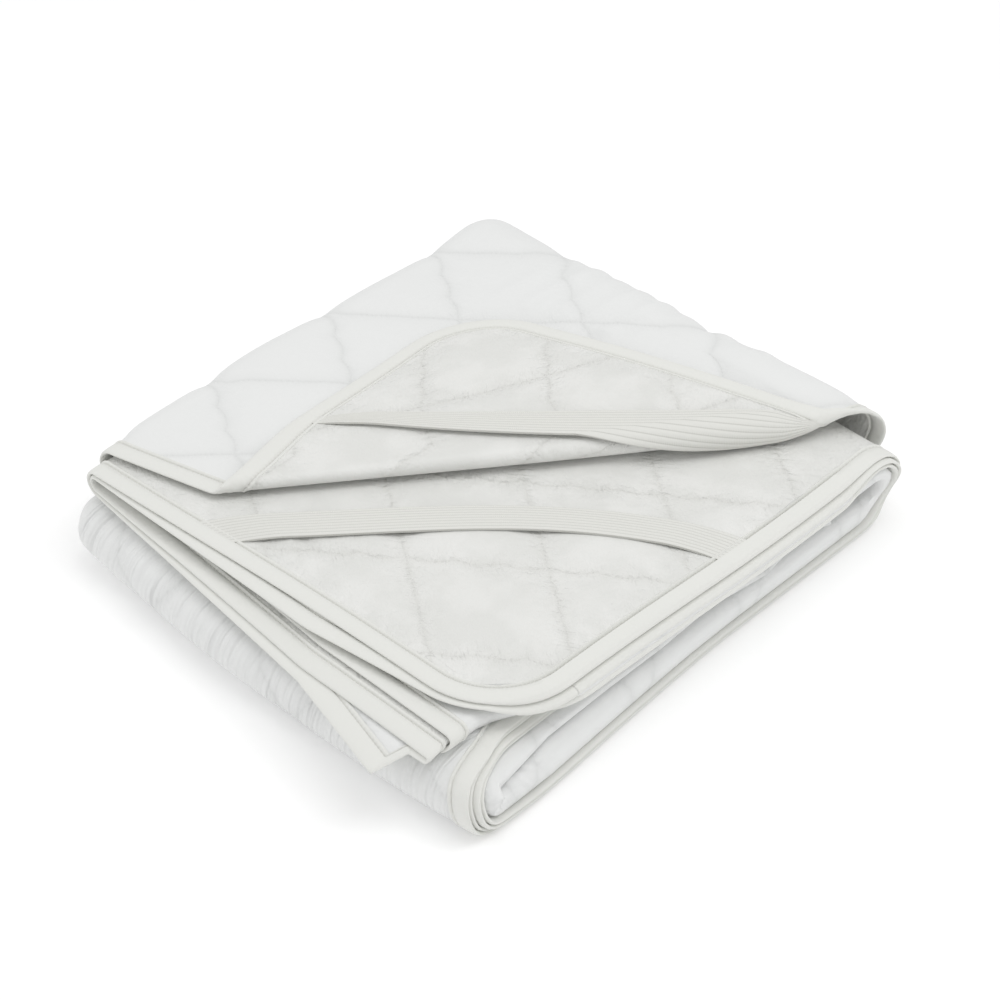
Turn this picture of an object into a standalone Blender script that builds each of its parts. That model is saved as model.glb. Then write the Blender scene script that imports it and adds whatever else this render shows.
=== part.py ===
"""A quilted waterproof mattress protector, folded to a stack with its top corner turned back.

The pad is one sheet. A point of the flat sheet has a place across the bed (s), a place
along the bed (t) and a height in the cloth (m, cotton side up). Four folds, one after the
other, carry that point to its place in the stack: in half along the bed, in half across it,
in half again, and then in thirds like a letter. Metres, +Z up, origin under the middle.
"""
import math

import bmesh
import bpy
import numpy as np

# The flat protector
FLAT_WIDTH = 1.19
FLAT_LENGTH = 1.955
CLOTH = 0.0018
CORNER_RADIUS = 0.052
BINDING_WIDTH = 0.011
BINDING_THICKNESS = 0.0017
SEAM_GAP = 0.0005

# The folded stack
PITCH = 0.0027
TOP_EDGE = -0.163
SIDE_EDGE = 0.156
FRONT_REACH = -0.174
BACK_REACH = 0.173
TOP_SETBACK = 0.014
HALF_FOLD_SETBACK = 0.022
HEM_LEAD = 0.003
CENTRE = (0.00065, -0.01215)

# How the stack settles. A pair of numbers is where a form starts and where it is full
MIDDLE_TUCK = 0.012
TUCK_RUNS = (0.010, 0.02)
ROLL_BULGE = 0.015
BULGE_AT = 0.04
BULGE_REACH = 0.19
BULGE_HEIGHTS = (0.035, 0.050)
BULGE_DEPTH = (-0.17, 0.0)
SIDE_INSET = 0.007
INSET_ACROSS = (0.0, 0.15)
INSET_BACK = (0.0, 0.16)
INSET_HEIGHTS = (0.012, 0.045)
FRONT_OUTSET = 0.0028
OUTSET_FRONT = (-0.17, -0.06)
OVERHANG_DROOP = 0.2
OVERHANG_AT = -0.172
OVERHANG_HEIGHTS = (0.034, 0.043)
SQUEEZE = 0.065
SQUEEZE_ACROSS = (-0.02, 0.15)
SQUEEZE_ALONG = (-0.05, 0.15)
HEM_DROOP = 1.3
DROOP_START = 3.2
DROOP_FULL = 2.9
DROOP_FADE = (-0.03, 0.0)

# Slow waves of the stack's sides: height of the wave, waves to the metre times 2 pi, and phase
SWAY_ACROSS = (0.0016, 21.0, 0.6)
SWAY_ALONG = (0.0014, 17.0, 1.1)
SWAY_HEIGHT = 0.06

# How far the front edge stands out of the stack, at places across the flat sheet
EDGE_LEAD = (
    ("free side of the top quarter", 0.000, -0.006),
    ("first fold", 0.308, 0.000),
    ("middle of the second quarter", 0.500, 0.0245),
    ("fold in half", 0.5935, 0.022),
    ("middle of the third quarter", 0.690, 0.021),
    ("second fold", 0.879, 0.000),
    ("middle of the last quarter", 1.058, 0.007),
    ("free side of the last quarter", 1.190, -0.008),
)

# The corner drawn out beside the fold in half: where it starts, its tip and its far side
TIP_PLACES = (0.500, 0.572, 0.579)
TIP_LEAD = 0.020
TIP_LENGTH = 0.08

# The top layer and its turned-back corner
SKEW_BACK = 0.058
SKEW_IN = 0.022
SKEW_CURVE = 0.8
SKEW_FADE = (-0.03, 0.05)
FLAP_START = (-0.076, -0.132)
FLAP_END = (0.124, 0.138)
FLAP_LENGTH = 0.34
FLAP_BOW = 0.004
FLAP_SHIFT = 0.010
SHIFT_RISE = (0.0, 0.05)
SHIFT_FADE = (0.20, 0.34)
TOP_OVERRUN = 0.04
FLAP_RADIUS = 0.0030
FLAP_RADIUS_END = 0.0060
HUMP = 0.009
HUMP_ACROSS = (0.0, 0.17)
HUMP_RISE = (-0.010, 0.018)
HUMP_FALL = 0.02
TOP_LOFT = 0.0025
LOFT_END = 0.035
BACK_LOFT = 0.0025
BACK_LOFT_RISE = (-0.09, 0.0)
FOLD_LOFT = 0.004
FOLD_LOFT_ACROSS = (0.19, 0.30)
FOLD_LOFT_RISE = (0.02, 0.12)
FOLD_LOFT_FALL = (0.16, 0.28)

ROLL_STEPS = 7
BISECTIONS = 14

# Quilting
QUILT = 0.090
QUILT_PHASE = 0.052
PUFF = 0.0012
PUFF_EDGE = (0.011, 0.031)
PUFF_END = (-0.035, -0.015)
PUFF_AGAIN = (0.008, 0.018)
PUFF_FADE = (-0.01, 0.0)
BARE_PAST = (0.020, 0.045)

# The elastic corner straps
STRAP_WIDTH = 0.025
STRAP_THICKNESS = 0.0012
STRAP_STEPS = 25
STRAP_LINES = 7
GATHERED_END = 0.35

# name, its two ends from the corner, bow, share of its width at the first end, upper half
STRAPS = (
    ("strap_on_the_lower_layer", 0.205, 0.180, 0.010, 1.0, False),
    ("strap_on_the_turned_corner", 0.147, 0.255, 0.000, 0.6, True),
)

# Colours
COTTON = (0.86, 0.87, 0.87)
BINDING = (0.85, 0.84, 0.78)
ELASTIC = (0.82, 0.82, 0.78)
COTTON_ROUGHNESS = 0.85
BINDING_ROUGHNESS = 0.75
ELASTIC_ROUGHNESS = 0.6
SHARP_ANGLE = 50

# Radii of the folds, and how far along the bundle each stretch of it ends
HALF_TURN = PITCH / 2
CROSS_TURN = PITCH
QUARTER_TURN = 2 * PITCH
OUTER_TURN = 8 * PITCH
INNER_TURN = 4 * PITCH
TOP_HEIGHT = 3.5 * PITCH + TOP_LOFT
BACK_START = BACK_REACH - OUTER_TURN - INNER_TURN
FRONT_START = FRONT_REACH + 2 * INNER_TURN
PANEL_END = BACK_START - TOP_EDGE
LOW_START = PANEL_END + math.pi * OUTER_TURN
LOW_END = LOW_START + BACK_START - FRONT_START
MID_START = LOW_END + math.pi * INNER_TURN
FLOOR = (PITCH - CLOTH) / 2

HALF_AT = (FLAT_LENGTH - TOP_SETBACK) / 2
CROSS_AT = (FLAT_WIDTH - HEM_LEAD) / 2
QUARTER_AT = (CROSS_AT + HALF_FOLD_SETBACK) / 2
QUARTER_START = QUARTER_AT - math.pi * QUARTER_TURN / 2


def ease(value, low, high):
    """Go smoothly from 0 at low to 1 at high."""
    part = np.clip((value - low) / (high - low), 0, 1)
    return part * part * (3 - 2 * part)


def turn(run, offset, at, radius):
    """Fold a run at one place: it goes out on top and comes back beneath."""
    start = at - math.pi * radius / 2
    angle = np.clip((run - start) / radius, 0, math.pi)
    before = np.minimum(run - start, 0)
    past = np.maximum(run - start - math.pi * radius, 0)
    along = start + before - past + (radius + offset) * np.sin(angle)
    return along, (radius + offset) * np.cos(angle)


def roll(run, offset):
    """Fold the bundle in thirds: back on top, round and forward below, and back between."""
    back = np.clip((run - PANEL_END) / OUTER_TURN, 0, math.pi)
    front = np.clip((run - LOW_END) / INNER_TURN, 0, math.pi)
    on_top = np.minimum(run, PANEL_END)
    below = np.clip(run - LOW_START, 0, LOW_END - LOW_START)
    between = np.maximum(run - MID_START, 0)
    y = TOP_EDGE + on_top - below + between
    y = y + np.where(run > PANEL_END, (OUTER_TURN + offset) * np.sin(back), 0)
    y = y - np.where(run > LOW_END, (INNER_TURN + offset) * np.sin(front), 0)
    z_back = 12 * PITCH + (OUTER_TURN + offset) * np.cos(back)
    z_front = 8 * PITCH - (INNER_TURN + offset) * np.cos(front)
    return y, np.where(run > LOW_END, z_front, z_back)


def edge_lead(s):
    """How far the folded edge stands out to the front at this place across the sheet."""
    places = [row[1] for row in EDGE_LEAD]
    leads = [row[2] for row in EDGE_LEAD]
    soften = 0.004
    near = np.interp(s - soften, places, leads) + np.interp(s + soften, places, leads)
    return 0.5 * np.interp(s, places, leads) + 0.25 * near


def tip_lead(s, run):
    """How far the corner beside the fold in half is drawn out, fading into the stack."""
    return TIP_LEAD * np.interp(s, TIP_PLACES, (0, 1, 0)) * (1 - ease(run, 0, TIP_LENGTH))


def loft(s, t):
    """How loosely the outermost layer lies over the top, the first fold and the back."""
    over = 1 - ease(s, QUARTER_AT, QUARTER_START + math.pi * QUARTER_TURN)
    behind = BACK_LOFT * ease(t - PANEL_END, *BACK_LOFT_RISE)
    along = ease(t, *FOLD_LOFT_RISE) * (1 - ease(t, *FOLD_LOFT_FALL))
    beside = FOLD_LOFT * ease(s, *FOLD_LOFT_ACROSS) * along
    return (TOP_LOFT + behind + beside) * over * (1 - ease(t, PANEL_END, LOW_START - LOFT_END))


def fold_in_half(s, t, m):
    """Give each point its run along the bundle and its height in a pair of layers."""
    along, height = turn(t, m + loft(s, t), HALF_AT, HALF_TURN)
    return along + TOP_SETBACK - edge_lead(s) - tip_lead(s, along), height


def fold_across(s, height):
    """Fold the pair across and then to quarters: place from the bound side, and height."""
    across, height = turn(s, height, CROSS_AT, CROSS_TURN)
    return turn(across, height, QUARTER_AT, QUARTER_TURN)


def slide_top(across, run):
    """The top layer lies askew: its free side is drawn in and back."""
    side = np.clip(1 - across / QUARTER_START, 0, 1)
    reach = np.clip(1 - run / PANEL_END, 0, 1)
    drawn_in = SKEW_IN * (1 - ease(run - LOW_START, *SKEW_FADE))
    return across + drawn_in * side, run + SKEW_BACK * side * reach ** SKEW_CURVE


def flap_line():
    """The turned corner's fold line on the top layer: where it starts, and its way."""
    start = np.array((SIDE_EDGE - FLAP_START[0], FLAP_START[1] - TOP_EDGE))
    end = np.array((SIDE_EDGE - FLAP_END[0], FLAP_END[1] - TOP_EDGE))
    return start, (end - start) / np.linalg.norm(end - start)


def from_flap_line(across, run):
    """How far places lie along the fold line and past it, and the line's own bow there."""
    start, way = flap_line()
    along = (across - start[0]) * way[0] + (run - start[1]) * way[1]
    bow = FLAP_BOW * np.sin(math.pi * np.clip(along / FLAP_LENGTH, 0, 1))
    past = (run - start[1]) * way[0] - (across - start[0]) * way[1]
    return along, past - bow, bow


def roll_radius(along):
    """Radius of the turned corner's roll, softer towards its far end."""
    return FLAP_RADIUS + (FLAP_RADIUS_END - FLAP_RADIUS) * ease(along, 0, FLAP_LENGTH)


def fold_flap(across, run, height):
    """Turn the top layer's corner back over itself, with a softer roll at the far end."""
    start, way = flap_line()
    along, past, bow = from_flap_line(across, run)
    radius = roll_radius(along)
    folded, lift = turn(past, TOP_HEIGHT - height, (math.pi / 2 - 1) * radius, radius)
    folded = folded + bow
    shift = FLAP_SHIFT * ease(past, *SHIFT_RISE) * (1 - ease(along, *SHIFT_FADE))
    on_top = run < PANEL_END + TOP_OVERRUN
    across = np.where(on_top, start[0] + along * way[0] - folded * way[1] + shift, across)
    run = np.where(on_top, start[1] + along * way[1] + folded * way[0], run)
    return across, run, np.where(on_top, TOP_HEIGHT + radius - lift, height)


def roll_angle(s, t):
    """How far round the turned corner's roll a point of the sheet lies, in radians."""
    across, run = slide_top(s, t + TOP_SETBACK - edge_lead(s))
    along, past, bow = from_flap_line(across, run)
    return past / roll_radius(along) + 1


def hump(across, run):
    """How far the top layer stands off the others at the back of its free side."""
    beside = 1 - ease(across, *HUMP_ACROSS)
    behind = ease(run - PANEL_END, *HUMP_RISE)
    return HUMP * beside * behind * (1 - ease(run, PANEL_END + HUMP_FALL, LOW_START))


def droop(across, run, height):
    """The bound edges past the fold in half hang down, each a little more than the last."""
    free = 1 - ease(across, 0, HALF_FOLD_SETBACK)
    on_top = 1 - ease(run - PANEL_END, *DROOP_FADE)
    return HEM_DROOP * free * on_top * np.clip(DROOP_START * PITCH - height, 0, DROOP_FULL * PITCH)


def settle(x, y, z):
    """Uneven heights and sides of the whole stack, with the floor left flat."""
    z = z * (1 - SQUEEZE * ease(x, *SQUEEZE_ACROSS) * ease(y, *SQUEEZE_ALONG))
    overhang = np.maximum(OVERHANG_AT - y, 0) * ease(z, *OVERHANG_HEIGHTS)
    pulled = ROLL_BULGE * (1 - ((x - BULGE_AT) / BULGE_REACH) ** 2)
    pulled = pulled * (1 - ease(y, *BULGE_DEPTH)) * (1 - ease(z, *BULGE_HEIGHTS))
    inset = SIDE_INSET * ease(y, *INSET_BACK) - FRONT_OUTSET * (1 - ease(y, *OUTSET_FRONT))
    inset = inset * ease(x, *INSET_ACROSS) * (1 - ease(z, *INSET_HEIGHTS))
    loose = np.clip(z / SWAY_HEIGHT, 0, 1)
    new_x = x - inset + loose * wave(y, *SWAY_ACROSS)
    new_y = y - pulled + loose * wave(x, *SWAY_ALONG)
    return new_x, new_y, z - OVERHANG_DROOP * overhang


def wave(place, height, rate, phase):
    """A slow wave along one way of the stack."""
    return height * np.sin(rate * place + phase)


def is_top_layer(s, t):
    """Whether points belong to the stack's loose top layer."""
    return (s < QUARTER_START) & (t < LOW_START + TOP_OVERRUN)


def lay(s, t, m):
    """Carry points of the flat sheet to their places in the folded stack."""
    s, t, m = np.broadcast_arrays(*(np.asarray(value, float) for value in (s, t, m)))
    run, height = fold_in_half(s, t, m)
    across, height = fold_across(s, height)
    top = is_top_layer(s, t)
    slid_across, slid_run = slide_top(across, run)
    flap_across, flap_run, flap_height = fold_flap(slid_across, slid_run, height)
    flap_height = flap_height + hump(flap_across, flap_run)
    height = np.where(top, flap_height, height - droop(across, run, height))
    across = np.where(top, flap_across, across)
    run = np.where(top, flap_run, run)
    side = np.clip(1 - across / QUARTER_START, 0, 1)
    tuck = MIDDLE_TUCK * ease(run, LOW_END + TUCK_RUNS[0], MID_START + TUCK_RUNS[1])
    y, z = roll(run, height)
    x, y, z = settle(SIDE_EDGE - across - tuck * side, y, z - FLOOR)
    return np.stack((x - CENTRE[0], y - CENTRE[1], z), axis=-1)


def steps(start, end, count):
    """Even places from the start up to, but not at, the end."""
    return [start + (end - start) * step / count for step in range(count)]


def columns():
    """Places across the sheet, close together where it folds and where the quilting shows."""
    inset = BINDING_WIDTH + SEAM_GAP
    quarter_end = QUARTER_START + math.pi * QUARTER_TURN
    cross_start = CROSS_AT - math.pi * CROSS_TURN / 2
    cross_end = CROSS_AT + math.pi * CROSS_TURN / 2
    stretches = (
        (inset, CORNER_RADIUS, 3),
        (CORNER_RADIUS, QUARTER_START, 9),
        (QUARTER_START, quarter_end, 5),
        (quarter_end, TIP_PLACES[0], 3),
        (TIP_PLACES[0], TIP_PLACES[1], 1),
        (TIP_PLACES[1], TIP_PLACES[2], 1),
        (TIP_PLACES[2], cross_start, 1),
        (cross_start, cross_end, 4),
        (cross_end, 2 * CROSS_AT - quarter_end, 4),
        (2 * CROSS_AT - quarter_end, 2 * CROSS_AT - QUARTER_START, 4),
        (2 * CROSS_AT - QUARTER_START, FLAT_WIDTH - CORNER_RADIUS, 4),
        (FLAT_WIDTH - CORNER_RADIUS, FLAT_WIDTH - inset, 3),
    )
    places = [place for stretch in stretches for place in steps(*stretch)]
    return np.array(places + [FLAT_WIDTH - inset])


def bundle_runs(counts):
    """Runs along the bundle from the end of the top third to the fold in half."""
    tip = HALF_AT + TOP_SETBACK - 0.04
    ends = (PANEL_END, LOW_START, LOW_END, MID_START, tip)
    stretches = zip(ends[:-1], ends[1:], counts)
    return [run for stretch in stretches for run in steps(*stretch)] + [tip]


def rows(s):
    """Places along the sheet, one list for each place across it."""
    inset = BINDING_WIDTH + SEAM_GAP
    shift = edge_lead(s)
    upper = [place + 0 * s for place in steps(inset, CORNER_RADIUS, 3)]
    panel = PANEL_END - TOP_SETBACK + shift
    shares = steps(0, 0.7, 7) + steps(0.7, 1, 5)
    upper += [CORNER_RADIUS + (panel - CORNER_RADIUS) * share for share in shares]
    upper += [run - TOP_SETBACK + shift for run in bundle_runs((6, 3, 5, 2))]
    half = math.pi * HALF_TURN / 2
    middle = [place + 0 * s for place in steps(HALF_AT - half, HALF_AT + half, 3)]
    middle += [HALF_AT + half + 0 * s]
    lower = [place + 0 * s for place in steps(inset, CORNER_RADIUS, 3)]
    panel = PANEL_END + shift
    lower += [CORNER_RADIUS + (panel - CORNER_RADIUS) * share for share in steps(0, 1, 8)]
    lower += [run + shift for run in bundle_runs((6, 3, 5, 2))]
    lower = [FLAT_LENGTH - place for place in reversed(lower)]
    return np.array(upper + middle + lower).T


def round_corners(s, t):
    """Draw the grid's four square corners in to the sheet's round ones."""
    inset = BINDING_WIDTH + SEAM_GAP
    radius = CORNER_RADIUS - inset
    side = np.where(s < FLAT_WIDTH / 2, -1, 1)
    end = np.where(t < FLAT_LENGTH / 2, -1, 1)
    hub_s = FLAT_WIDTH / 2 + side * (FLAT_WIDTH / 2 - CORNER_RADIUS)
    hub_t = FLAT_LENGTH / 2 + end * (FLAT_LENGTH / 2 - CORNER_RADIUS)
    out_s = np.clip((s - hub_s) * side / radius, 0, 1)
    out_t = np.clip((t - hub_t) * end / radius, 0, 1)
    corner = (out_s > 0) & (out_t > 0)
    near_s = hub_s + side * radius * out_s * np.sqrt(1 - out_t ** 2 / 2)
    near_t = hub_t + end * radius * out_t * np.sqrt(1 - out_s ** 2 / 2)
    return np.where(corner, near_s, s), np.where(corner, near_t, t)


def quilting(s, t):
    """Puffs between the sewn lines, which cross as diamonds."""
    across = (s - QUILT_PHASE) / QUILT
    along = (t - QUILT_PHASE) / QUILT
    return PUFF * np.abs(np.sin(math.pi * (across + along)) * np.sin(math.pi * (across - along)))


def cotton_face(s, t):
    """Height of the cotton face, puffed only where it lies outermost and off the floor."""
    outermost = 1 - ease(s, QUARTER_AT, QUARTER_START + math.pi * QUARTER_TURN)
    run = t + TOP_SETBACK - edge_lead(s)
    rising = 1 - ease(run - LOW_START, *PUFF_END)
    front = ease(run - LOW_END, *PUFF_AGAIN) * (1 - ease(run - MID_START, *PUFF_FADE))
    edge = ease(np.minimum(s, t), *PUFF_EDGE)
    return CLOTH / 2 + quilting(s, t) * outermost * edge * np.maximum(rising, front)


def waterproof_face(s, t):
    """Depth of the waterproof face, puffed only where the turned corner lays it bare."""
    upper = t < HALF_AT
    across, run = slide_top(s, t + TOP_SETBACK)
    past = np.where(upper, from_flap_line(across, run)[1], from_flap_line(s, FLAT_LENGTH - t)[1])
    edge = ease(np.minimum(s, np.minimum(t, FLAT_LENGTH - t)), *PUFF_EDGE)
    return -CLOTH / 2 - quilting(s, t) * ease(past, *BARE_PAST) * edge


def add_points(mesh, points):
    """Add mesh points and hand them back in the shape they came in."""
    made = [mesh.verts.new(point) for point in points.reshape(-1, 3)]
    return np.array(made, dtype=object).reshape(points.shape[:-1])


def flat_grid(s, t):
    """A flat mesh of the sheet's own places, scored along the turned corner's roll."""
    flat = bmesh.new()
    grid = add_points(flat, np.stack((s, t, 0 * s), axis=-1))
    for i in range(s.shape[0] - 1):
        for j in range(s.shape[1] - 1):
            flat.faces.new((grid[i, j], grid[i + 1, j], grid[i + 1, j + 1], grid[i, j + 1]))
    bmesh.ops.remove_doubles(flat, verts=flat.verts, dist=1e-6)
    for angle in np.linspace(0, math.pi, ROLL_STEPS + 1):
        score(flat, angle)
    bmesh.ops.triangulate(flat, faces=flat.faces)
    flat.verts.index_update()
    return flat


def score(flat, angle):
    """Part the flat mesh's faces along the line where the roll reaches this angle."""
    flat.verts.index_update()
    places = np.array([point.co[:2] for point in flat.verts])
    side = roll_angle(*places.T) > angle
    crossed = [edge for edge in flat.edges if len({side[end.index] for end in edge.verts}) == 2]
    begin = places[[edge.verts[0].index for edge in crossed]]
    finish = places[[edge.verts[1].index for edge in crossed]]
    low, high = np.zeros(len(crossed)), np.ones(len(crossed))
    for _ in range(BISECTIONS):
        middle = (low + high) / 2
        spot = begin + (finish - begin) * middle[:, None]
        before = (roll_angle(*spot.T) > angle) == (roll_angle(*begin.T) > angle)
        low, high = np.where(before, middle, low), np.where(before, high, middle)
    made = []
    for edge, part in zip(crossed, low):
        made.append(bmesh.utils.edge_split(edge, edge.verts[0], part)[1])
    bmesh.ops.connect_verts(flat, verts=made)


def thicken(flat, name, upper, lower, colour, roughness):
    """Lay a flat mesh in the stack as a solid between two heights in the cloth."""
    places = np.array([point.co for point in flat.verts])
    s, t = places[:, 0], places[:, 1]
    mesh = bmesh.new()
    above = add_points(mesh, lay(s, t, upper(s, t)))
    below = add_points(mesh, lay(s, t, lower(s, t)))
    for face in flat.faces:
        corners = [point.index for point in face.verts]
        mesh.faces.new([above[corner] for corner in corners])
        mesh.faces.new([below[corner] for corner in corners])
    for edge in flat.edges:
        if edge.is_boundary:
            here, there = (point.index for point in edge.verts)
            mesh.faces.new((above[here], above[there], below[there], below[here]))
    flat.free()
    bmesh.ops.recalc_face_normals(mesh, faces=mesh.faces)
    data = bpy.data.meshes.new(name)
    mesh.to_mesh(data)
    mesh.free()
    data.shade_smooth()
    data.set_sharp_from_angle(angle=math.radians(SHARP_ANGLE))
    data.materials.append(make_material(name, colour, roughness))
    bpy.context.scene.collection.objects.link(bpy.data.objects.new(name, data))


def make_material(name, colour, roughness):
    """A plain cloth material."""
    material = bpy.data.materials.new(name)
    material.use_nodes = True
    shader = material.node_tree.nodes["Principled BSDF"]
    shader.inputs["Base Color"].default_value = (*colour, 1)
    shader.inputs["Roughness"].default_value = roughness
    shader.inputs["Metallic"].default_value = 0
    return material


def pad_places():
    """Places of the pad's grid on the flat sheet."""
    across = columns()
    along = rows(across)
    return round_corners(np.repeat(across[:, None], along.shape[1], axis=1), along)


def build_pad():
    """The quilted pad: one sheet with its cotton face and its waterproof face."""
    flat = flat_grid(*pad_places())
    thicken(flat, "quilted_pad", cotton_face, waterproof_face, COTTON, COTTON_ROUGHNESS)


def once_round(grid):
    """Values round the rim of a grid, ending where they began."""
    return np.concatenate((grid[:-1, 0], grid[-1, :-1], grid[:0:-1, -1], grid[0, ::-1]))


def build_binding():
    """The bound edge: a narrow folded tape all round the pad."""
    s, t = (once_round(grid) for grid in pad_places())
    out_s = s - np.clip(s, CORNER_RADIUS, FLAT_WIDTH - CORNER_RADIUS)
    out_t = t - np.clip(t, CORNER_RADIUS, FLAT_LENGTH - CORNER_RADIUS)
    reach = np.hypot(out_s, out_t)
    near = 1 + SEAM_GAP / reach
    far = 1 + (SEAM_GAP + BINDING_WIDTH) / reach
    s = np.stack((s + out_s * (near - 1), s + out_s * (far - 1)))
    t = np.stack((t + out_t * (near - 1), t + out_t * (far - 1)))

    def half_way(s, t):
        return BINDING_THICKNESS / 2 + 0 * s

    def half_below(s, t):
        return -half_way(s, t)

    thicken(flat_grid(s, t), "binding", half_way, half_below, BINDING, BINDING_ROUGHNESS)


def build_strap(name, reach_across, reach_along, bow, gathered, on_upper_half):
    """An elastic strap across a corner of the waterproof face, from edge to edge."""
    edge = BINDING_WIDTH + 2 * SEAM_GAP
    begin = np.array((reach_across, edge))
    finish = np.array((edge, reach_along))
    way = (finish - begin) / np.linalg.norm(finish - begin)
    part = np.linspace(0, 1, STRAP_STEPS)[:, None]
    lateral = np.linspace(-0.5, 0.5, STRAP_LINES)[None, :] * STRAP_WIDTH
    width = gathered + (1 - gathered) * ease(part, 0, GATHERED_END)
    inward = lateral * width + bow * np.sin(math.pi * part)
    s = begin[0] + (finish[0] - begin[0]) * part + way[1] * inward
    t = begin[1] + (finish[1] - begin[1]) * part - way[0] * inward
    if not on_upper_half:
        t = FLAT_LENGTH - t

    def near_face(s, t):
        return -CLOTH / 2 - PUFF - SEAM_GAP + 0 * s

    def far_face(s, t):
        return near_face(s, t) - STRAP_THICKNESS

    thicken(flat_grid(s, t), name, near_face, far_face, ELASTIC, ELASTIC_ROUGHNESS)


def main():
    for old in list(bpy.data.objects):
        bpy.data.objects.remove(old, do_unlink=True)
    build_pad()
    build_binding()
    for strap in STRAPS:
        build_strap(*strap)


main()
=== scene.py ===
# %% [markdown]
# A folded, quilted mattress protector.
#
# The real thing is one flat sheet: quilted cotton on one side and a thin waterproof film on the
# other, bound round its edge with a narrow tape, with elastic straps across its corners. It is
# folded in half along the bed, in half across it, in half again, and then in thirds. One corner
# of the top layer is turned back, so the film and a strap show.
#
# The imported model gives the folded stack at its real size. This script dresses it: each piece is
# first laid out flat, with its fine detail, and then every point is carried through the same
# folds as the solid. So the quilting, the tape and the straps follow the folds by themselves.

import math

import bmesh
import bpy
import numpy as np
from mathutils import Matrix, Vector


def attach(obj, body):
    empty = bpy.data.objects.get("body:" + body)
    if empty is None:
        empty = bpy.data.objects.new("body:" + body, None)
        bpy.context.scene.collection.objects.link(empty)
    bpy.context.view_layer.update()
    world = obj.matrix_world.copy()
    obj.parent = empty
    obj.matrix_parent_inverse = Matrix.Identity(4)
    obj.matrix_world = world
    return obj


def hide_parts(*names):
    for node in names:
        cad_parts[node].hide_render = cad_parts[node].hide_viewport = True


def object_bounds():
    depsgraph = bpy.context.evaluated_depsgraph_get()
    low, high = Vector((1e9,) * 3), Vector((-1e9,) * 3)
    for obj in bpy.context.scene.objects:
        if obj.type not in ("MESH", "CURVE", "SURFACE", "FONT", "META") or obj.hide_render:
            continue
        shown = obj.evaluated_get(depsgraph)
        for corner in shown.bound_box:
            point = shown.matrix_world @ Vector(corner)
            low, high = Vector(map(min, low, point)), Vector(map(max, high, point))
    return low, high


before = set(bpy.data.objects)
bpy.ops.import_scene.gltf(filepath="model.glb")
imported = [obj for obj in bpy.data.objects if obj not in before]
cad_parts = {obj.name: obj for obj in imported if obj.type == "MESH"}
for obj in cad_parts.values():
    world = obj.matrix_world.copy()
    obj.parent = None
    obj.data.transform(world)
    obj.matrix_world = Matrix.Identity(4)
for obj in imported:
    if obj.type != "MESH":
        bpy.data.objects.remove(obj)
packed_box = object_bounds()
print("packed box, mm:", [[round(1000 * side, 1) for side in corner] for corner in packed_box])

# %% [markdown]
# The camera stands where the photographer's did. Its bearing, height and distance come from
# matching the stack's corners to the picture: a long lens, well above the shelf, looking down on
# the corner between the folded roll and the bound side. It is made first, because every later
# choice is judged through it.

# %% Camera
CAMERA_BEARING = 43.48
CAMERA_RISE = 39.8
CAMERA_DISTANCE = 1.6
CAMERA_LENS = 103.8
AIM = Vector((0.00555, 0.01085, 0.03))


def look_from(bearing, rise):
    """The way from what is looked at to a point at this bearing and rise, in degrees."""
    a, e = math.radians(bearing), math.radians(rise)
    return Vector((math.sin(a) * math.cos(e), -math.cos(a) * math.cos(e), math.sin(e)))


def add_camera():
    """A still camera that looks at the middle of the stack."""
    data = bpy.data.cameras.new("camera")
    data.lens = CAMERA_LENS
    camera = bpy.data.objects.new("camera", data)
    bpy.context.scene.collection.objects.link(camera)
    away = look_from(CAMERA_BEARING, CAMERA_RISE)
    camera.location = AIM + away * CAMERA_DISTANCE
    camera.rotation_euler = (-away).to_track_quat("-Z", "Y").to_euler()
    bpy.context.scene.camera = camera


add_camera()
print("camera", CAMERA_DISTANCE, "m away")

# %% [markdown]
# A point of the flat sheet has three numbers: its place across the bed, s, its place along the
# bed, t, and its height in the cloth, m, which is positive on the cotton side. Folding is easiest
# to write for a sheet that stays as long as it was, so each fold is a half turn of a given radius
# with straight cloth before and after it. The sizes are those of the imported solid, which is why
# the dressed cloth lies exactly where the solid does.

# %% Sizes of the flat sheet and of the stack, in metres
FLAT_WIDTH = 1.19
FLAT_LENGTH = 1.955
CLOTH = 0.0018
CORNER_RADIUS = 0.052
TAPE_WIDTH = 0.011
SEAM_GAP = 0.0005
PITCH = 0.0027
TOP_EDGE = -0.163
SIDE_EDGE = 0.156
FRONT_REACH = -0.174
BACK_REACH = 0.173
TOP_SETBACK = 0.014
HALF_FOLD_SETBACK = 0.022
HEM_LEAD = 0.003
CENTRE = (0.00065, -0.01215)

HALF_TURN = PITCH / 2
CROSS_TURN = PITCH
QUARTER_TURN = 2 * PITCH
OUTER_TURN = 8 * PITCH
INNER_TURN = 4 * PITCH
BACK_START = BACK_REACH - OUTER_TURN - INNER_TURN
FRONT_START = FRONT_REACH + 2 * INNER_TURN
PANEL_END = BACK_START - TOP_EDGE
LOW_START = PANEL_END + math.pi * OUTER_TURN
LOW_END = LOW_START + BACK_START - FRONT_START
MID_START = LOW_END + math.pi * INNER_TURN
FLOOR = (PITCH - CLOTH) / 2
HALF_AT = (FLAT_LENGTH - TOP_SETBACK) / 2
CROSS_AT = (FLAT_WIDTH - HEM_LEAD) / 2
QUARTER_AT = (CROSS_AT + HALF_FOLD_SETBACK) / 2
QUARTER_START = QUARTER_AT - math.pi * QUARTER_TURN / 2
QUARTER_END = QUARTER_START + math.pi * QUARTER_TURN
print(f"flat {FLAT_WIDTH} m by {FLAT_LENGTH} m, in 16 layers {1000 * PITCH:.1f} mm apart")


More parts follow.
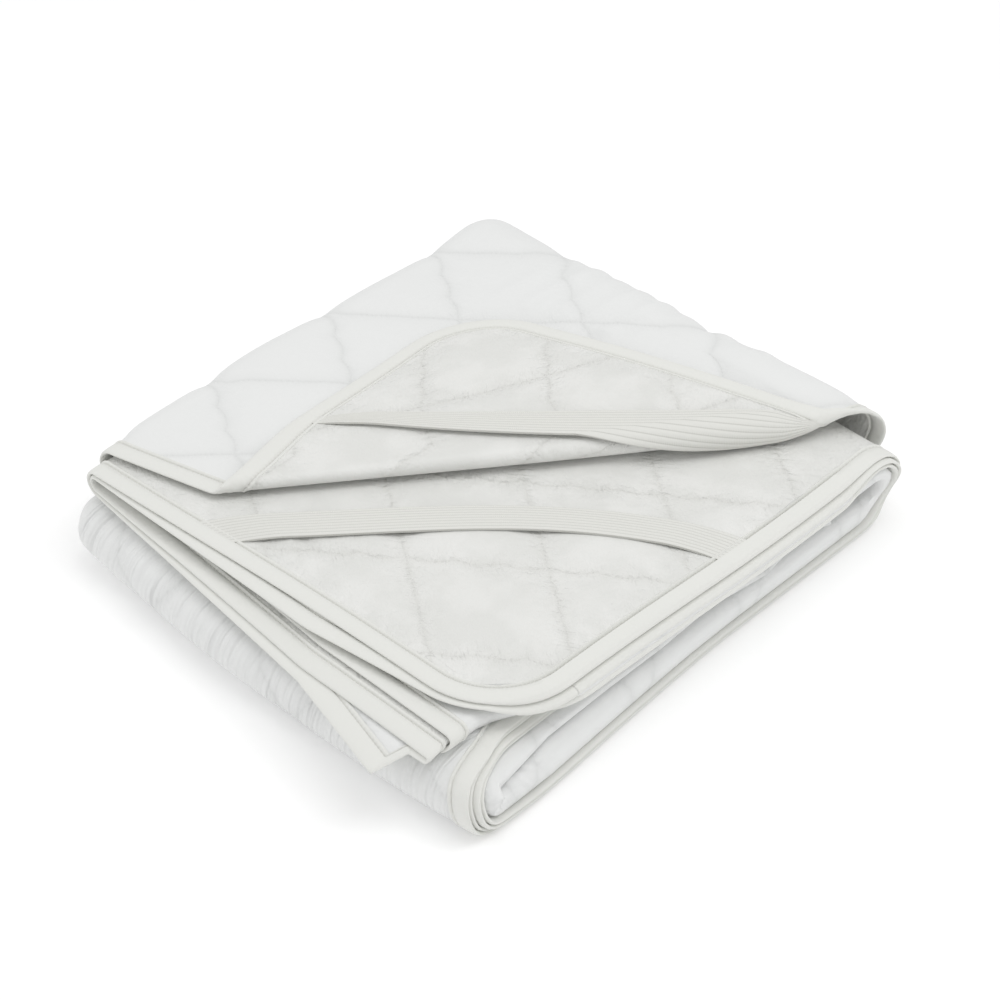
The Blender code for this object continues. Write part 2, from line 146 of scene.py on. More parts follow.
# %% The folds that everything is made of
def ease(value, low, high):
    """Go smoothly from 0 at low to 1 at high."""
    part = np.clip((value - low) / (high - low), 0, 1)
    return part * part * (3 - 2 * part)


def soften(place, places, values, reach):
    """Read a table between its rows, with its corners rounded off over a reach."""
    beside = np.interp(place - reach, places, values) + np.interp(place + reach, places, values)
    return 0.5 * np.interp(place, places, values) + 0.25 * beside


def turn(run, offset, at, radius):
    """Fold a run at one place: it goes out on top and comes back beneath."""
    start = at - math.pi * radius / 2
    angle = np.clip((run - start) / radius, 0, math.pi)
    before = np.minimum(run - start, 0)
    past = np.maximum(run - start - math.pi * radius, 0)
    along = start + before - past + (radius + offset) * np.sin(angle)
    return along, (radius + offset) * np.cos(angle)


def thirds(run, offset):
    """Fold the bundle in thirds: back on top, round and forward below, and back between."""
    back = np.clip((run - PANEL_END) / OUTER_TURN, 0, math.pi)
    front = np.clip((run - LOW_END) / INNER_TURN, 0, math.pi)
    on_top = np.minimum(run, PANEL_END)
    below = np.clip(run - LOW_START, 0, LOW_END - LOW_START)
    between = np.maximum(run - MID_START, 0)
    y = TOP_EDGE + on_top - below + between
    y = y + np.where(run > PANEL_END, (OUTER_TURN + offset) * np.sin(back), 0)
    y = y - np.where(run > LOW_END, (INNER_TURN + offset) * np.sin(front), 0)
    z_back = 12 * PITCH + (OUTER_TURN + offset) * np.cos(back)
    z_front = 8 * PITCH - (INNER_TURN + offset) * np.cos(front)
    return y, np.where(run > LOW_END, z_front, z_back)


# %% [markdown]
# Nobody folds bedding exactly. The edges that should meet stand out by different amounts, and a
# corner is drawn out beside the fold in half. One small table says how far the front edge leads
# at places across the sheet, and a straight line between its rows is softened a little, because
# cloth has no corners in its own plane.

# %% How unevenly the front edges meet
EDGE_LEAD = (
    ("free side of the top quarter", 0.000, -0.006),
    ("first fold", 0.308, 0.000),
    ("middle of the second quarter", 0.500, 0.0245),
    ("fold in half", 0.5935, 0.022),
    ("middle of the third quarter", 0.690, 0.021),
    ("second fold", 0.879, 0.000),
    ("middle of the last quarter", 1.058, 0.007),
    ("free side of the last quarter", 1.190, -0.008),
)
LEAD_SOFTENING = 0.004
TIP_PLACES = (0.500, 0.572, 0.579)
TIP_LEAD = 0.020
TIP_LENGTH = 0.08


def edge_lead(s):
    """How far the folded edge stands out to the front at this place across the sheet."""
    places = [row[1] for row in EDGE_LEAD]
    leads = [row[2] for row in EDGE_LEAD]
    return soften(s, places, leads, LEAD_SOFTENING)


def tip_lead(s, run):
    """How far the corner beside the fold in half is drawn out, fading into the stack."""
    return TIP_LEAD * np.interp(s, TIP_PLACES, (0, 1, 0)) * (1 - ease(run, 0, TIP_LENGTH))


# %% [markdown]
# The top layer lies askew on the others, and its front corner is turned back along a slanting
# line. The turned corner rolls over with a small radius, tighter at its front end. The fold line
# is given by its two ends on the stack, and a point of the top layer is described by how far it
# is along that line and past it.

# %% The top layer and its turned corner
SKEW_BACK = 0.058
SKEW_IN = 0.022
SKEW_CURVE = 0.8
SKEW_FADE = (-0.03, 0.05)
FLAP_START = (-0.076, -0.132)
FLAP_END = (0.124, 0.138)
FLAP_LENGTH = 0.34
FLAP_BOW = 0.004
FLAP_SHIFT = 0.010
SHIFT_RISE = (0.0, 0.05)
SHIFT_FADE = (0.20, 0.34)
TOP_OVERRUN = 0.04
FLAP_RADIUS = 0.0030
FLAP_RADIUS_END = 0.0060
TOP_LOFT = 0.0025
LOFT_END = 0.035
BACK_LOFT = 0.0025
BACK_LOFT_RISE = (-0.09, 0.0)
FOLD_LOFT = 0.004
FOLD_LOFT_ACROSS = (0.19, 0.30)
FOLD_LOFT_RISE = (0.02, 0.12)
FOLD_LOFT_FALL = (0.16, 0.28)
TOP_HEIGHT = 3.5 * PITCH + TOP_LOFT
FLAP_CORNER = np.array((SIDE_EDGE - FLAP_START[0], FLAP_START[1] - TOP_EDGE))
FLAP_FAR = np.array((SIDE_EDGE - FLAP_END[0], FLAP_END[1] - TOP_EDGE))
FLAP_WAY = (FLAP_FAR - FLAP_CORNER) / np.linalg.norm(FLAP_FAR - FLAP_CORNER)


def loft(s, t):
    """How loosely the outermost layer lies over the top, the first fold and the back."""
    over = 1 - ease(s, QUARTER_AT, QUARTER_END)
    behind = BACK_LOFT * ease(t - PANEL_END, *BACK_LOFT_RISE)
    along = ease(t, *FOLD_LOFT_RISE) * (1 - ease(t, *FOLD_LOFT_FALL))
    beside = FOLD_LOFT * ease(s, *FOLD_LOFT_ACROSS) * along
    return (TOP_LOFT + behind + beside) * over * (1 - ease(t, PANEL_END, LOW_START - LOFT_END))


def slide_top(across, run):
    """The top layer lies askew: its free side is drawn in and back."""
    side = np.clip(1 - across / QUARTER_START, 0, 1)
    reach = np.clip(1 - run / PANEL_END, 0, 1)
    drawn_in = SKEW_IN * (1 - ease(run - LOW_START, *SKEW_FADE))
    return across + drawn_in * side, run + SKEW_BACK * side * reach ** SKEW_CURVE


def from_flap_line(across, run):
    """How far places lie along the fold line and past it, and the line's own bow there."""
    beside, before = across - FLAP_CORNER[0], run - FLAP_CORNER[1]
    along = beside * FLAP_WAY[0] + before * FLAP_WAY[1]
    bow = FLAP_BOW * np.sin(math.pi * np.clip(along / FLAP_LENGTH, 0, 1))
    return along, before * FLAP_WAY[0] - beside * FLAP_WAY[1] - bow, bow


def roll_radius(along):
    """Radius of the turned corner's roll, softer towards its far end."""
    return FLAP_RADIUS + (FLAP_RADIUS_END - FLAP_RADIUS) * ease(along, 0, FLAP_LENGTH)


def fold_flap(across, run, height):
    """Turn the top layer's corner back over itself."""
    along, past, bow = from_flap_line(across, run)
    radius = roll_radius(along)
    folded, lift = turn(past, TOP_HEIGHT - height, (math.pi / 2 - 1) * radius, radius)
    folded = folded + bow
    shift = FLAP_SHIFT * ease(past, *SHIFT_RISE) * (1 - ease(along, *SHIFT_FADE))
    on_top = run < PANEL_END + TOP_OVERRUN
    turned_across = FLAP_CORNER[0] + along * FLAP_WAY[0] - folded * FLAP_WAY[1] + shift
    turned_run = FLAP_CORNER[1] + along * FLAP_WAY[1] + folded * FLAP_WAY[0]
    across = np.where(on_top, turned_across, across)
    run = np.where(on_top, turned_run, run)
    return across, run, np.where(on_top, TOP_HEIGHT + radius - lift, height)


def past_flap_line(s, t):
    """How far a place of the sheet's top layer lies along the turned corner's fold and past it."""
    across, run = slide_top(s, t + TOP_SETBACK - edge_lead(s))
    return from_flap_line(across, run)[:2]


def roll_angle(s, t):
    """How far round the turned corner's roll a point of the sheet lies, in radians."""
    along, past = past_flap_line(s, t)
    return past / roll_radius(along) + 1


# %% [markdown]
# Under its own weight the stack settles: free edges droop, the folded roll bulges, and the sides
# sway a little. These are soft bumps that come in over a stretch and fade over another, so each
# is a height and a pair of numbers, where it starts and where it is full.

# %% How the stack settles
HUMP = 0.009
HUMP_ACROSS = (0.0, 0.17)
HUMP_RISE = (-0.010, 0.018)
HUMP_FALL = 0.02
MIDDLE_TUCK = 0.012
TUCK_RUNS = (0.010, 0.02)
ROLL_BULGE = 0.015
BULGE_AT = 0.04
BULGE_REACH = 0.19
BULGE_HEIGHTS = (0.035, 0.050)
BULGE_DEPTH = (-0.17, 0.0)
SIDE_INSET = 0.0074
INSET_ACROSS = (0.0, 0.15)
INSET_BACK = (-0.13, 0.03)
INSET_HEIGHTS = (0.012, 0.045)
FRONT_OUTSET = 0.0028
OUTSET_FRONT = (-0.17, -0.06)
OVERHANG_DROOP = 0.2
OVERHANG_AT = -0.172
OVERHANG_HEIGHTS = (0.034, 0.043)
SQUEEZE = 0.065
SQUEEZE_ACROSS = (-0.02, 0.15)
SQUEEZE_ALONG = (-0.05, 0.15)
HEM_DROOP = 1.3
DROOP_START = 3.2
DROOP_FULL = 2.9
DROOP_FADE = (-0.03, 0.0)
FILL_LOW = 0.0255
FILL_BETWEEN = 0.0325
FILL_RISE = (0.01, 0.07)
FILL_WAVE = (0.0022, 85.0, 0.4)
FILL_RIPPLE = (0.0017, 210.0, 1.3)
PRESS_ACROSS = (0.06, 0.15)
PRESS_ALONG = (-0.185, -0.12)
LOOSE_HEIGHTS = (0.0, 0.0104, 0.0212, 0.0320, 0.0430, 0.0600)
PRESSED_HEIGHTS = (0.0, 0.0055, 0.0270, 0.0345, 0.0435, 0.0600)
PRESS_SOFTENING = 0.002
SWAY_ACROSS = (0.0016, 21.0, 0.6)
SWAY_ALONG = (0.0014, 17.0, 1.1)
SWAY_HEIGHT = 0.06


def hump(across, run):
    """How far the top layer stands off the others at the back of its free side."""
    beside = 1 - ease(across, *HUMP_ACROSS)
    behind = ease(run - PANEL_END, *HUMP_RISE)
    return HUMP * beside * behind * (1 - ease(run, PANEL_END + HUMP_FALL, LOW_START))


def droop(across, run, height):
    """The bound edges past the fold in half hang down, each a little more than the last."""
    free = 1 - ease(across, 0, HALF_FOLD_SETBACK)
    on_top = 1 - ease(run - PANEL_END, *DROOP_FADE)
    return HEM_DROOP * free * on_top * np.clip(DROOP_START * PITCH - height, 0, DROOP_FULL * PITCH)


def wave(place, height, rate, phase):
    """A slow wave along one way of the stack."""
    return height * np.sin(rate * place + phase)


def fill_side(s, across, run):
    """The fold in half is soft and bulges out between the bound edges, unevenly inside."""
    inside = ease(run, LOW_END, MID_START)
    out = FILL_LOW + (FILL_BETWEEN - FILL_LOW) * inside
    out = out + inside * (wave(run, *FILL_WAVE) + wave(run, *FILL_RIPPLE))
    beside = np.clip(1 - across / QUARTER_START, 0, 1)
    by_fold = np.abs(s - CROSS_AT) < CROSS_AT - QUARTER_AT
    return np.where(by_fold, out * beside * ease(run, *FILL_RISE), 0)


def settle(x, y, z):
    """Uneven heights and sides of the whole stack, with the floor left flat."""
    pressed = soften(z, LOOSE_HEIGHTS, PRESSED_HEIGHTS, PRESS_SOFTENING) - z
    z = z + pressed * ease(x, *PRESS_ACROSS) * ease(y, *PRESS_ALONG) * (z < LOOSE_HEIGHTS[-1])
    z = z * (1 - SQUEEZE * ease(x, *SQUEEZE_ACROSS) * ease(y, *SQUEEZE_ALONG))
    overhang = np.maximum(OVERHANG_AT - y, 0) * ease(z, *OVERHANG_HEIGHTS)
    pulled = ROLL_BULGE * (1 - ((x - BULGE_AT) / BULGE_REACH) ** 2)
    pulled = pulled * (1 - ease(y, *BULGE_DEPTH)) * (1 - ease(z, *BULGE_HEIGHTS))
    inset = SIDE_INSET * ease(y, *INSET_BACK) - FRONT_OUTSET * (1 - ease(y, *OUTSET_FRONT))
    inset = inset * ease(x, *INSET_ACROSS) * (1 - ease(z, *INSET_HEIGHTS))
    loose = np.clip(z / SWAY_HEIGHT, 0, 1)
    new_x = x - inset + loose * wave(y, *SWAY_ACROSS)
    new_y = y - pulled + loose * wave(x, *SWAY_ALONG)
    return new_x, new_y, np.maximum(z - OVERHANG_DROOP * overhang, 0)


def lay(s, t, m):
    """Carry points of the flat sheet to their places in the folded stack."""
    s, t, m = np.broadcast_arrays(*(np.asarray(value, float) for value in (s, t, m)))
    along, height = turn(t, m + loft(s, t), HALF_AT, HALF_TURN)
    run = along + TOP_SETBACK - edge_lead(s) - tip_lead(s, along)
    across, height = turn(s, height, CROSS_AT, CROSS_TURN)
    across, height = turn(across, height, QUARTER_AT, QUARTER_TURN)
    top = (s < QUARTER_START) & (t < LOW_START + TOP_OVERRUN)
    flap_across, flap_run, flap_height = fold_flap(*slide_top(across, run), height)
    flap_height = flap_height + hump(flap_across, flap_run)
    filled = across - fill_side(s, across, run)
    height = np.where(top, flap_height, height - droop(across, run, height))
    across = np.where(top, flap_across, filled)
    run = np.where(top, flap_run, run)
    side = np.clip(1 - across / QUARTER_START, 0, 1)
    tuck = MIDDLE_TUCK * ease(run, LOW_END + TUCK_RUNS[0], MID_START + TUCK_RUNS[1])
    y, z = thirds(run, height)
    x, y, z = settle(SIDE_EDGE - across - tuck * side, y, z - FLOOR)
    return np.stack((x - CENTRE[0], y - CENTRE[1], z), axis=-1)


corner = lay(0.0, 0.0, 0.0)
print("the turned corner's point lies at", np.round(1000 * corner, 1), "mm")

# %% [markdown]
# The quilting is sewn in two families of slanting seams that cross as diamonds, 120 mm by 88 mm
# from point to point. One family runs in deep scallops and the other is nearly straight. A place
# in this pattern has two numbers, one for each family, which are whole on a seam. They are worked
# out once for each point of the mesh, which is puffed up between its seams, and kept on it, so
# the materials find the same seams.

# %% Quilting
QUILT_ACROSS = 0.120
QUILT_ALONG = 0.0885
QUILT_START = (0.066, 0.079)
SEAM_PITCH = 1 / math.hypot(1 / QUILT_ACROSS, 1 / QUILT_ALONG)
FLAP_SLIP = 0.33
SLIP_RISE = (0.0, 0.02)
SCALLOPS = 3
SHALLOW_SCALLOP = 0.008
DEEP_SCALLOP = 0.034
PUFF = 0.0027
PUFF_VALLEY = 0.0055
VALLEY_SHARE = 0.5
PUFF_EDGE = (0.010, 0.030)


def seam_place(s, t):
    """Place in the quilting: one number for each family of seams, whole on a seam."""
    across, along = (s - QUILT_START[0]) / QUILT_ACROSS, (t - QUILT_START[1]) / QUILT_ALONG
    slip = FLAP_SLIP * ease(past_flap_line(s, t)[1], *SLIP_RISE)
    return across + along, across - along + np.where(t < HALF_AT, slip, 0)


def scallop(place):
    """A row of arcs, from 0 at each whole number to 1 between."""
    return np.abs(np.sin(math.pi * place))


def seam_distance(s, t):
    """Distance from places of the flat sheet to the nearest quilting seam."""
    rising, falling = seam_place(s, t)
    first = rising - SHALLOW_SCALLOP * scallop(SCALLOPS * falling)
    second = falling + DEEP_SCALLOP * scallop(SCALLOPS * rising)
    nearest = np.minimum(np.abs(first - np.round(first)), np.abs(second - np.round(second)))
    return nearest * SEAM_PITCH


def puff(s, t):
    """How far the filling lifts the cloth between its seams, less towards the bound edge."""
    distance = seam_distance(s, t)
    valley = distance ** 2 / (distance ** 2 + PUFF_VALLEY ** 2)
    crown = np.sin(math.pi * np.clip(distance / SEAM_PITCH, 0, 0.5))
    edge = np.minimum(np.minimum(s, FLAT_WIDTH - s), np.minimum(t, FLAT_LENGTH - t))
    return PUFF * (VALLEY_SHARE * valley + (1 - VALLEY_SHARE) * crown) * ease(edge, *PUFF_EDGE)


print("seams lie", round(1000 * SEAM_PITCH, 1), "mm apart")

# %% [markdown]
# No fold lies without creases. The main ones are listed one by one, each as a soft ridge or trough
# between two places of the flat sheet, with a half width and a height. Places on the lower half
# of the sheet are counted from its own bound end.

# %% Creases listed one by one, in metres
CREASES = {
    "cotton on top": (
        ("from the turned corner's start", 0.262, 0.060, 0.292, 0.100, 0.007, 0.0010),
        ("beside it", 0.285, 0.040, 0.300, 0.085, 0.006, -0.0009),
        ("soft trough over the front", 0.225, 0.085, 0.215, 0.140, 0.010, -0.0009),
        ("short one behind the turned edge", 0.180, 0.236, 0.205, 0.262, 0.006, 0.0008),
        ("dark crease in the back seam", 0.127, 0.304, 0.110, 0.328, 0.0040, -0.0022),
        ("bright side of it", 0.118, 0.300, 0.098, 0.326, 0.0050, 0.0018),
        ("at the right end of the back", 0.085, 0.300, 0.098, 0.345, 0.007, 0.0012),
        ("beside the back corner", 0.060, 0.312, 0.070, 0.350, 0.006, -0.0010),
    ),
    "film on the turned corner": (
        ("fold beside the seam, left", 0.200, 0.214, 0.176, 0.190, 0.005, 0.0014),
        ("smooth swelling right of it", 0.158, 0.190, 0.140, 0.172, 0.014, 0.0014),
        ("fold beside the seam, right", 0.118, 0.238, 0.106, 0.222, 0.005, 0.0011),
        ("long soft one", 0.235, 0.120, 0.165, 0.092, 0.008, 0.0008),
        ("bright one near the strap's end", 0.046, 0.205, 0.030, 0.178, 0.004, 0.0018),
        ("its neighbour", 0.036, 0.222, 0.024, 0.200, 0.004, -0.0010),
        ("at the left edge", 0.222, 0.052, 0.196, 0.036, 0.006, 0.0010),
    ),
    "film below": (
        ("crumpled seam by the side", 0.047, 0.229, 0.021, 0.199, 0.0045, 0.0013),
        ("shiny facet", 0.030, 0.262, 0.012, 0.236, 0.009, 0.0018),
        ("trough beside the facet", 0.044, 0.250, 0.026, 0.222, 0.005, -0.0012),
        ("second one by the side", 0.026, 0.236, 0.013, 0.221, 0.0035, 0.0012),
        ("short one below the strap", 0.024, 0.154, 0.015, 0.142, 0.0035, 0.0014),
        ("over the strap's middle", 0.150, 0.112, 0.132, 0.124, 0.0045, 0.0010),
        ("crumple at the front, left", 0.180, 0.026, 0.160, 0.020, 0.004, 0.0012),
        ("crumple beside it", 0.168, 0.034, 0.158, 0.016, 0.004, -0.0009),
        ("crumple by the front edge", 0.120, 0.030, 0.096, 0.024, 0.005, 0.0010),
        ("near the round corner", 0.048, 0.036, 0.030, 0.054, 0.005, 0.0009),
    ),
}
BACK_RIDGES = 6
RIDGE_START = (0.242, 0.244)
RIDGE_END = (0.234, 0.318)
RIDGE_STEP = 0.0185
RIDGE_WIDTH = 0.0052
RIDGE_HEIGHT = 0.0010


def back_ridges():
    """Even soft ridges that run over the back of the top layer, as the cloth was gathered there."""
    for ridge in range(BACK_RIDGES):
        shift = ridge * RIDGE_STEP
        uneven = 1 + 0.45 * math.sin(2.1 * ridge)
        yield ("over the back", RIDGE_START[0] - shift, RIDGE_START[1] + 0.2 * shift,
               RIDGE_END[0] - shift, RIDGE_END[1], RIDGE_WIDTH, RIDGE_HEIGHT * uneven)


CREASES["cotton on top"] += tuple(back_ridges())


def creases(s, t, face):
    """Height of one face's creases at places of the sheet."""
    height = 0 * s
    for name, s_start, t_start, s_end, t_end, width, rise in CREASES[face]:
        way = np.array((s_end - s_start, t_end - t_start))
        part = ((s - s_start) * way[0] + (t - t_start) * way[1]) / (way @ way)
        part = np.clip(part, 0, 1)
        away = np.hypot(s - s_start - part * way[0], t - t_start - part * way[1])
        height = height + rise * np.exp(-(away / width) ** 2)
    return height


print(sum(len(rows) for rows in CREASES.values()), "creases")

# %% [markdown]
# The flat mesh has to be fine where the cloth shows or folds, and can be coarse inside the stack.
# It starts as a grid whose columns and rows are the same share of each fold, then the cells that
# show are cut finer, and last it is scored along the turned corner's roll, because a grid that
# runs across a slanting roll would make it jagged.

# %% Columns and rows of the flat sheet
INSET = TAPE_WIDTH + SEAM_GAP
CROSS_HALF = math.pi * CROSS_TURN / 2
COLUMNS = (
    ("bound side", INSET, CORNER_RADIUS, 4),
    ("top quarter", CORNER_RADIUS, QUARTER_START, 25),
    ("first fold", QUARTER_START, QUARTER_END, 5),
    ("second quarter", QUARTER_END, TIP_PLACES[0], 4),
    ("drawn-out corner", TIP_PLACES[0], TIP_PLACES[1], 3),
    ("its tip", TIP_PLACES[1], TIP_PLACES[2], 1),
    ("its short side", TIP_PLACES[2], CROSS_AT - CROSS_HALF, 2),
    ("fold in half", CROSS_AT - CROSS_HALF, CROSS_AT + CROSS_HALF, 4),
    ("third quarter", CROSS_AT + CROSS_HALF, 2 * CROSS_AT - QUARTER_END, 6),
    ("second fold", 2 * CROSS_AT - QUARTER_END, 2 * CROSS_AT - QUARTER_START, 5),
    ("last quarter", 2 * CROSS_AT - QUARTER_START, FLAT_WIDTH - CORNER_RADIUS, 7),
    ("other bound side", FLAT_WIDTH - CORNER_RADIUS, FLAT_WIDTH - INSET, 4),
)
CORNER_ROWS = 4
PANEL_ROWS = 25
HALF_FOLD_ROWS = 4
BUNDLE_ROWS = (("back wrap", 11), ("underneath", 8), ("front roll", 9), ("inside", 6))


def steps(start, end, count):
    """Even places from the start up to, but not at, the end."""
    return [start + (end - start) * step / count for step in range(count)]


def columns():
    """Places across the sheet."""
    places = [place for name, start, end, count in COLUMNS for place in steps(start, end, count)]
    return np.array(places + [FLAT_WIDTH - INSET])


def half_rows(shift, setback):
    """Places along one half of the sheet, from its bound edge to near the fold in half."""
    tip = HALF_AT + TOP_SETBACK - 0.04
    ends = (PANEL_END, LOW_START, LOW_END, MID_START, tip)
    places = [place + 0 * shift for place in steps(INSET, CORNER_RADIUS, CORNER_ROWS)]
    panel = PANEL_END - setback + shift
    places += [CORNER_RADIUS + (panel - CORNER_RADIUS) * share for share in steps(0, 1, PANEL_ROWS)]
    for start, end, (name, count) in zip(ends[:-1], ends[1:], BUNDLE_ROWS):
        places += [run - setback + shift for run in steps(start, end, count)]
    return places + [tip - setback + shift]


def rows(s):
    """Places along the sheet, one list for each place across it."""
    shift = edge_lead(s)
    half = math.pi * HALF_TURN / 2
    middle = [place + 0 * s for place in steps(HALF_AT - half, HALF_AT + half, HALF_FOLD_ROWS)]
    middle += [HALF_AT + half + 0 * s]
    lower = [FLAT_LENGTH - place for place in reversed(half_rows(shift, 0))]
    return np.array(half_rows(shift, TOP_SETBACK) + middle + lower).T


def round_corners(s, t):
    """Draw the grid's four square corners in to the sheet's round ones."""
    radius = CORNER_RADIUS - INSET
    side = np.where(s < FLAT_WIDTH / 2, -1, 1)
    end = np.where(t < FLAT_LENGTH / 2, -1, 1)
    hub_s = FLAT_WIDTH / 2 + side * (FLAT_WIDTH / 2 - CORNER_RADIUS)
    hub_t = FLAT_LENGTH / 2 + end * (FLAT_LENGTH / 2 - CORNER_RADIUS)
    out_s = np.clip((s - hub_s) * side / radius, 0, 1)
    out_t = np.clip((t - hub_t) * end / radius, 0, 1)
    rounded = (out_s > 0) & (out_t > 0)
    near_s = hub_s + side * radius * out_s * np.sqrt(1 - out_t ** 2 / 2)
    near_t = hub_t + end * radius * out_t * np.sqrt(1 - out_s ** 2 / 2)
    return np.where(rounded, near_s, s), np.where(rounded, near_t, t)


def sheet_places():
    """The grid of the whole flat sheet inside its binding."""
    across = columns()
    along = rows(across)
    return round_corners(np.repeat(across[:, None], along.shape[1], axis=1), along)


print("grid of", sheet_places()[0].shape, "places")

# %% The flat mesh, cut finer where it shows and scored along the roll
ROLL_LINES = 12
BISECTIONS = 14
FINE_CUTS = 3
UNDER_FLAP = 0.02


def flat_grid(s, t):
    """A flat mesh of the sheet's own places."""
    flat = bmesh.new()
    points = [flat.verts.new((across, along, 0)) for across, along in zip(s.ravel(), t.ravel())]
    grid = np.array(points, dtype=object).reshape(s.shape)
    for i in range(s.shape[0] - 1):
        for j in range(s.shape[1] - 1):
            flat.faces.new((grid[i, j], grid[i + 1, j], grid[i + 1, j + 1], grid[i, j + 1]))
    bmesh.ops.remove_doubles(flat, verts=flat.verts, dist=1e-6)
    return flat


def shows(s, t):
    """Whether a place of the flat sheet can be seen from outside the stack."""
    top = t < LOW_START - 0.02
    roll = (t > LOW_END - 0.02) & (t < MID_START + 0.005)
    lower = from_flap_line(s, FLAT_LENGTH - t)[1] < UNDER_FLAP
    return (s < QUARTER_END) & (top | roll | (lower & (t > HALF_AT)))


def cut_finer(flat):
    """Cut the edges of the cells that show, but never the sheet's rim."""
    middles = np.array([face.calc_center_median()[:2] for face in flat.faces])
    chosen = shows(*middles.T)
    edges = {edge for face, fine in zip(flat.faces, chosen) if fine for edge in face.edges}
    edges = [edge for edge in edges if not edge.is_boundary]
    bmesh.ops.subdivide_edges(flat, edges=edges, cuts=FINE_CUTS, use_grid_fill=True)


def score(flat, angle):
    """Part the flat mesh's faces along the line where the roll reaches this angle."""
    flat.verts.index_update()
    places = np.array([point.co[:2] for point in flat.verts])
    side = roll_angle(*places.T) > angle
    crossed = [edge for edge in flat.edges if len({side[end.index] for end in edge.verts}) == 2]
    begin = places[[edge.verts[0].index for edge in crossed]]
    finish = places[[edge.verts[1].index for edge in crossed]]
    low, high = np.zeros(len(crossed)), np.ones(len(crossed))
    for _ in range(BISECTIONS):
        middle = (low + high) / 2
        spot = begin + (finish - begin) * middle[:, None]
        before = (roll_angle(*spot.T) > angle) == (roll_angle(*begin.T) > angle)
        low, high = np.where(before, middle, low), np.where(before, high, middle)
    made = []
    for edge, part in zip(crossed, low):
        made.append(bmesh.utils.edge_split(edge, edge.verts[0], part)[1])
    bmesh.ops.connect_verts(flat, verts=made)


def finish_flat(flat):
    """Score the roll, make triangles, and number the points."""
    for angle in np.linspace(0, math.pi, ROLL_LINES + 1):
        score(flat, angle)
    bmesh.ops.triangulate(flat, faces=flat.faces)
    flat.verts.index_update()
    return flat


# %% [markdown]
# A flat mesh becomes a solid cloth by laying it twice, once at its upper and once at its lower
# height in the cloth, and joining the two round the rim. Each point also keeps its flat place in
# an attribute. The materials read that, so weave, seams and thread stay true to the sheet
# however it is folded, with no unwrapping.

# %% From a flat mesh to cloth with two faces
SHARP_ANGLE = 60


def keep_places(data, name, places):
    """Store a place for each point of a mesh, for the materials."""
    attribute = data.attributes.new(name, "FLOAT_VECTOR", "POINT")
    attribute.data.foreach_set("vector", np.asarray(places, np.float32).ravel())


def add_piece(name, data, *finishes):
    """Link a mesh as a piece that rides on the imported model."""
    data.shade_smooth()
    data.set_sharp_from_angle(angle=math.radians(SHARP_ANGLE))
    for finish in finishes:
        data.materials.append(finish)
    piece = bpy.data.objects.new(name, data)
    bpy.context.scene.collection.objects.link(piece)
    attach(piece, "root")
    print(name, "has", sum(len(face.vertices) - 2 for face in data.polygons), "triangles")
    return piece


def thicken(flat, name, upper, lower, *finishes):
    """Lay a flat mesh in the stack between two heights: cotton side first, film side second."""
    places = np.array([point.co for point in flat.verts])
    s, t = places[:, 0], places[:, 1]
    points = np.concatenate((lay(s, t, upper(s, t)), lay(s, t, lower(s, t))))
    corners = np.array([[point.index for point in face.verts] for face in flat.faces])
    rim = np.array([[end.index for end in edge.verts] for edge in flat.edges if edge.is_boundary])
    way_round = {(face[k], face[(k + 1) % 3]) for face in corners.tolist() for k in range(3)}
    rim = np.array([pair if tuple(pair) in way_round else pair[::-1] for pair in rim.tolist()])
    count = len(places)
    sides = np.stack((rim[:, 1], rim[:, 0], rim[:, 0] + count, rim[:, 1] + count), axis=1)
    faces = corners.tolist() + (corners[:, ::-1] + count).tolist() + sides.tolist()
    flat.free()
    data = bpy.data.meshes.new(name)
    data.from_pydata(points.tolist(), [], faces)
    keep_places(data, "flat_place", np.concatenate((places, places)))
    pattern = np.stack((*seam_place(s, t), 0 * s), axis=-1)
    keep_places(data, "seam_place", np.concatenate((pattern, pattern)))
    film = np.arange(len(faces))
    film = (film >= len(corners)) & (film < 2 * len(corners)) & (len(finishes) > 1)
    data.polygons.foreach_set("material_index", film.astype(np.int32))
    data.validate()
    return add_piece(name, data, *finishes)


# %% [markdown]
# Shader maths reads best as arithmetic. A Wire holds one output socket, and adding, multiplying
# or comparing wires adds the Math nodes. Any other node comes from one method, which first sets
# the node's own settings and then its sockets.

# %% Shader maths as expressions
class Wire:
    """One value that varies over a surface."""

    def __init__(self, finish, socket):
        self.finish = finish
        self.socket = socket

    def math(self, operation, *values):
        return self.finish.node("ShaderNodeMath", {"operation": operation}, dict(enumerate(values)))

    def __add__(self, other):
        return self.math("ADD", self, other)

    def __sub__(self, other):
        return self.math("SUBTRACT", self, other)

    def __rsub__(self, other):
        return self.math("SUBTRACT", other, self)

    def __mul__(self, other):
        return self.math("MULTIPLY", self, other)

    def __truediv__(self, other):
        return self.math("DIVIDE", self, other)

    def __pow__(self, other):
        return self.math("POWER", self, other)

    def __abs__(self):
        return self.math("ABSOLUTE", self)

    def __lt__(self, other):
        return self.math("LESS_THAN", self, other)

    __radd__ = __add__
    __rmul__ = __mul__

    def sine(self):
        return self.math("SINE", self)

    def least(self, other):
        return self.math("MINIMUM", self, other)

    def most(self, other):
        return self.math("MAXIMUM", self, other)

    def fading(self, reach):
        """1 where the value is 0, falling away over about this reach."""
        return self.math("EXPONENT", self * (-1 / reach))

    def from_whole(self):
        """How far the value is from the nearest whole number."""
        return abs(self - self.math("ROUND", self))

    def between(self, low, high):
        """0 below low, 1 above high, and a smooth step between."""
        kinds = {"interpolation_type": "SMOOTHSTEP"}
        return self.finish.node("ShaderNodeMapRange", kinds, {0: self, 1: low, 2: high})


